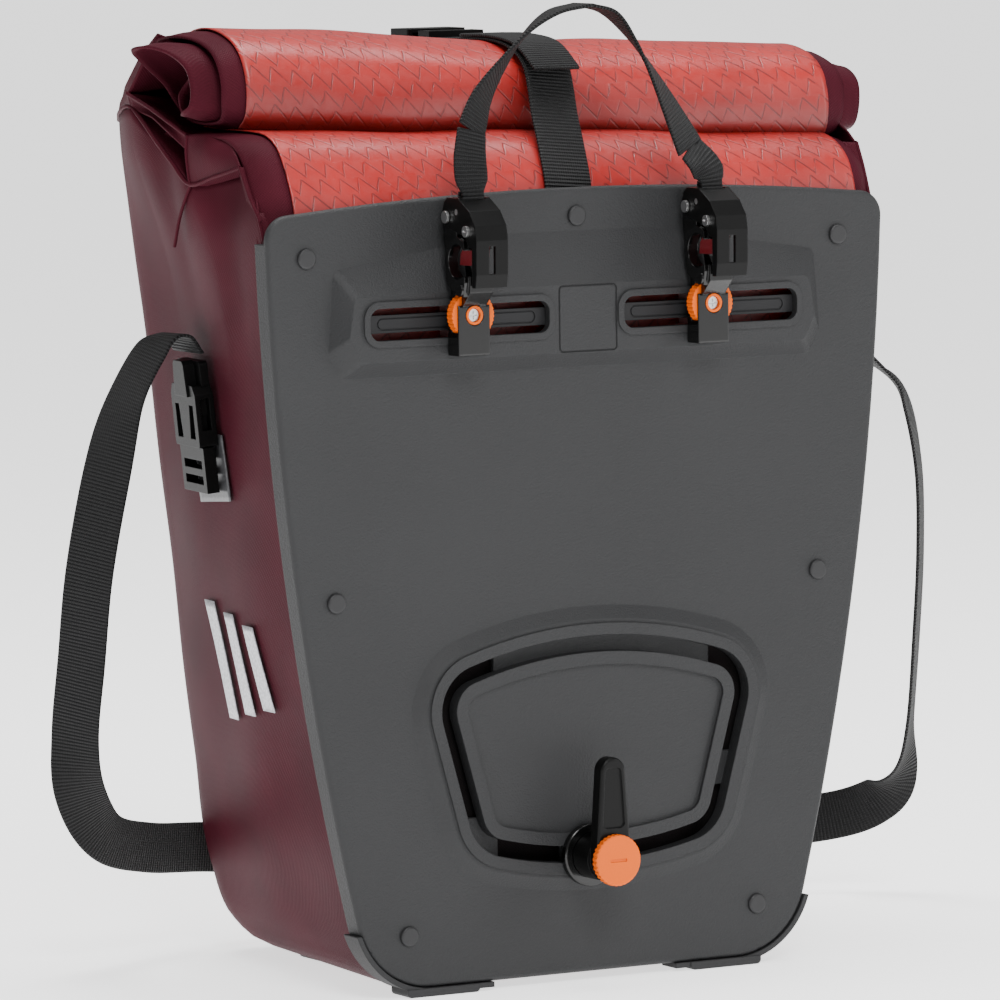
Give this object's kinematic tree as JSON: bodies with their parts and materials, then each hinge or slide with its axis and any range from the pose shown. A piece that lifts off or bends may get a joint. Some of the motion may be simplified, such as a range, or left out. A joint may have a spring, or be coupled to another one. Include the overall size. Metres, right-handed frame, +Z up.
{
  "type": "pannier bag",
  "caption": "Roll-top bicycle pannier bag with a moulded back plate, sliding rack hooks with spring latches, a lower strut hook, buckled shoulder strap and twisted carry handle.",
  "frame": {"origin": "middle of the base patch, on the floor", "axes": "+X to the right seen from the back plate's outer side, -Y out of the back plate, +Z up"},
  "size_m": [0.4968, 0.2533, 0.4621],
  "materials": {
    "plate_plastic": "fine grain, satin",
    "rail_plastic": "fine grain, satin",
    "rivet_plastic": "satin",
    "guard_rubber": "matt",
    "red_coated": "embossed coated sheet, satin",
    "wine_fabric": "coated woven fabric, satin",
    "board": "matt",
    "patch_rubber": "matt",
    "reflective": "grey reflective",
    "webbing": "woven",
    "buckle_plastic": "semi-gloss",
    "hook_gloss": "gloss",
    "hook_matte": "satin",
    "steel": "bright",
    "pad_red": "satin",
    "orange": "satin"
  },
  "bodies": {
    "bag": {"back_plate": "plate_plastic", "backing_board": "board", "bag_shell": "wine_fabric", "base_board": "board", "base_patch": "patch_rubber", "buckle_prongs_left": "buckle_plastic", "buckle_prongs_right": "buckle_plastic", "closure_socket": "buckle_plastic", "closure_strap": "webbing", "closure_tab": "webbing", "corner_guard_left": "guard_rubber", "corner_guard_right": "guard_rubber", "front_panel": "red_coated", "handle_strap_left": "webbing", "handle_strap_right": "webbing", "hook_rail_left": "rail_plastic", "hook_rail_right": "rail_plastic", "plate_rivets": "rivet_plastic", "rear_strap": "webbing", "reflector_patch_left": "reflective", "reflector_patch_right": "reflective", "rivet_washers": "rivet_plastic", "roll_end_left": "wine_fabric", "roll_end_right": "wine_fabric", "roll_stiffener": "board", "shoulder_strap_left": "webbing", "shoulder_strap_right": "webbing", "side_reflectors": "reflective", "strap_adjuster": "buckle_plastic", "top_fabric": "wine_fabric", "top_roll": "red_coated"},
    "hook_left": {"hook_base_left": "hook_gloss", "pivot_pin_left": "steel", "latch_spring_left": "steel", "clamp_screw_left": "steel", "rail_clamp_left": "steel"},
    "wheel_left": {"thumbwheel_left": "orange"},
    "latch_left": {"latch_cover_left": "hook_matte", "pad_screw_left": "steel", "strap_pin_left": "steel", "handle_end_left": "webbing"},
    "pad_left": {"tube_pad_left": "pad_red"},
    "strap_end_left": {"buckle_housing_left": "buckle_plastic"},
    "hook_right": {"hook_base_right": "hook_gloss", "pivot_pin_right": "steel", "latch_spring_right": "steel", "clamp_screw_right": "steel", "rail_clamp_right": "steel"},
    "wheel_right": {"thumbwheel_right": "orange"},
    "latch_right": {"latch_cover_right": "hook_matte", "pad_screw_right": "steel", "strap_pin_right": "steel", "handle_end_right": "webbing"},
    "pad_right": {"tube_pad_right": "pad_red"},
    "strap_end_right": {"buckle_housing_right": "buckle_plastic"},
    "carriage": {"track_carriage": "hook_gloss", "carriage_nut": "plate_plastic"},
    "arm": {"lower_arm": "hook_matte"},
    "knob": {"lower_knob": "orange"},
    "closure_half": {"closure_prongs": "buckle_plastic"}
  },
  "joints": [
    {"name": "hook_left_slide", "type": "slide", "parent": "bag", "child": "hook_left", "axis": [1, 0, 0], "range_m": [-0.038, 0.036]},
    {"name": "wheel_left_spin", "type": "hinge", "parent": "hook_left", "child": "wheel_left", "pos_m": [-0.067, -0.111, 0.3204], "axis": [0, -1, 0], "range_deg": [0, 540]},
    {"name": "latch_left_hinge", "type": "hinge", "parent": "hook_left", "child": "latch_left", "pos_m": [-0.067, -0.105, 0.366], "axis": [-1, 0, 0], "range_deg": [0, 24], "stiffness_Nm_per_rad": 0.25, "springref_deg": -28.65, "deforming": ["handle_strap_left"]},
    {"name": "pad_left_hinge", "type": "hinge", "parent": "latch_left", "child": "pad_left", "pos_m": [-0.067, -0.1238, 0.36], "axis": [-1, 0, 0], "range_deg": [0, 12], "stiffness_Nm_per_rad": 0.04, "springref_deg": -22.92},
    {"name": "buckle_left_release", "type": "slide", "parent": "bag", "child": "strap_end_left", "axis": [-0.0933, 0.0124, 0.9956], "range_m": [0, 0.03], "deforming": ["shoulder_strap_left"]},
    {"name": "hook_right_slide", "type": "slide", "parent": "bag", "child": "hook_right", "axis": [1, 0, 0], "range_m": [-0.032, 0.042]},
    {"name": "wheel_right_spin", "type": "hinge", "parent": "hook_right", "child": "wheel_right", "pos_m": [0.063, -0.111, 0.3204], "axis": [0, -1, 0], "range_deg": [0, 540]},
    {"name": "latch_right_hinge", "type": "hinge", "parent": "hook_right", "child": "latch_right", "pos_m": [0.063, -0.105, 0.366], "axis": [-1, 0, 0], "range_deg": [0, 24], "stiffness_Nm_per_rad": 0.25, "springref_deg": -28.65, "deforming": ["handle_strap_right"]},
    {"name": "pad_right_hinge", "type": "hinge", "parent": "latch_right", "child": "pad_right", "pos_m": [0.063, -0.1238, 0.36], "axis": [-1, 0, 0], "range_deg": [0, 12], "stiffness_Nm_per_rad": 0.04, "springref_deg": -22.92},
    {"name": "buckle_right_release", "type": "slide", "parent": "bag", "child": "strap_end_right", "axis": [0.0933, 0.0124, 0.9956], "range_m": [0, 0.03], "deforming": ["shoulder_strap_right"]},
    {"name": "lower_hook_travel", "type": "hinge", "parent": "bag", "child": "carriage", "pos_m": [0.0055, -0.1, 0.281], "axis": [0, -1, 0], "range_deg": [-8, 10.5]},
    {"name": "lower_arm_turn", "type": "hinge", "parent": "carriage", "child": "arm", "pos_m": [0, -0.115, 0.061], "axis": [0, -1, 0], "range_deg": [-100, 100]},
    {"name": "lower_knob_spin", "type": "hinge", "parent": "arm", "child": "knob", "pos_m": [0, -0.125, 0.061], "axis": [0, -1, 0], "range_deg": [0, 720]},
    {"name": "closure_release", "type": "slide", "parent": "bag", "child": "closure_half", "axis": [0, -1, 0], "range_m": [0, 0.02], "deforming": ["closure_strap"]}
  ]
}
